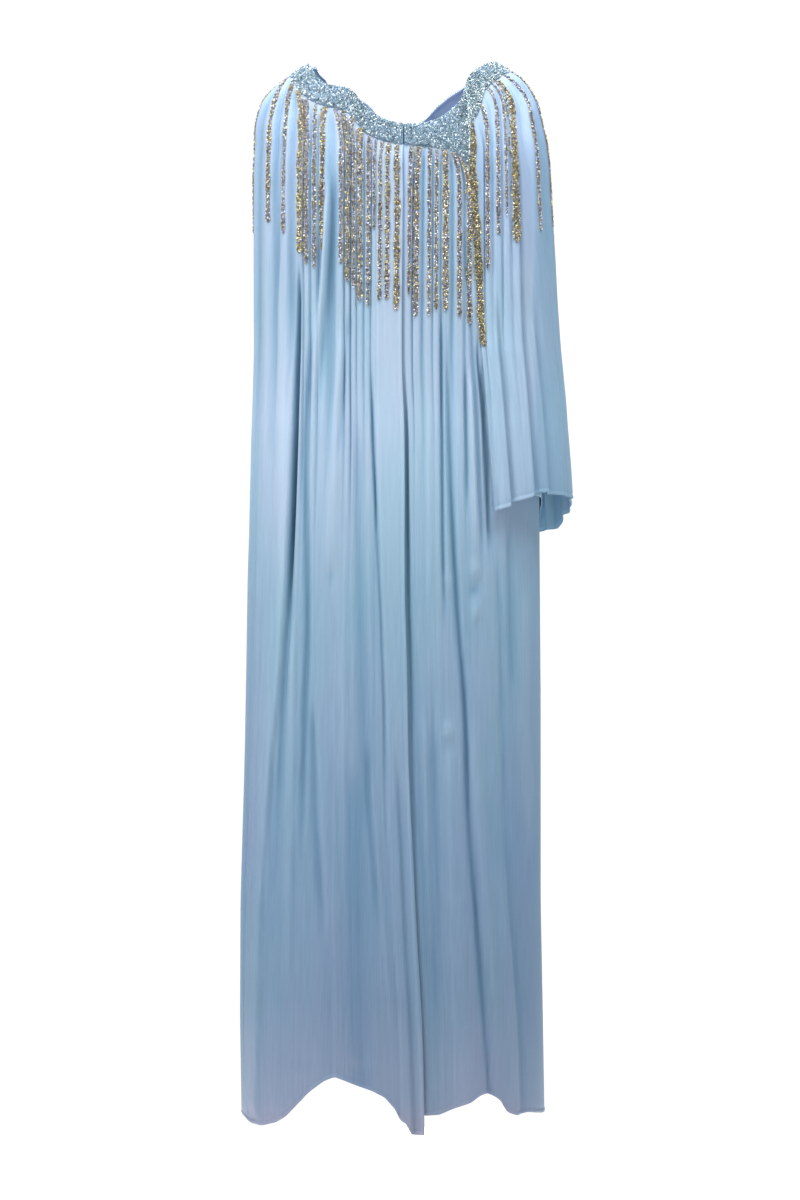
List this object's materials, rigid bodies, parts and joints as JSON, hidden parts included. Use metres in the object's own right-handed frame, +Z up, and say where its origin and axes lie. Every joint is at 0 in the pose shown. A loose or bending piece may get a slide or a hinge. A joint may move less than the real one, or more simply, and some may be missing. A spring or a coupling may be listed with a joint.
{
  "type": "kaftan dress",
  "caption": "Long open-front satin kaftan gathered onto a wide beaded neck band, with wide raglan sleeves and rows of sewn beads on the gathers.",
  "frame": {"origin": "between the shoulders at the height of their tops, on the garment's centre, where the wearer's shoulders carry it", "axes": "+Z up, the front faces -Y, +X towards the right of someone facing the front"},
  "size_m": [0.4646, 0.2932, 1.4929],
  "materials": {
    "satin": "pale ice-blue silk satin, soft sheen",
    "band_beads": "closely sewn clear, silver and ice-blue glass beads",
    "gold_beads": "sewn rows of small gold, bronze and lilac-silver beads"
  },
  "bodies": {
    "root": {"neck_band_front_left": "band_beads", "neck_band_front_right": "band_beads", "neck_band_back": "band_beads", "front_left": "satin", "front_right": "satin", "back": "satin", "sleeve_right": "satin", "sleeve_left": "satin", "bead_rows_front_left": "gold_beads", "bead_rows_front_right": "gold_beads", "bead_rows_back": "gold_beads", "bead_rows_sleeve_right": "gold_beads", "bead_rows_sleeve_left": "gold_beads"}
  },
  "joints": []
}
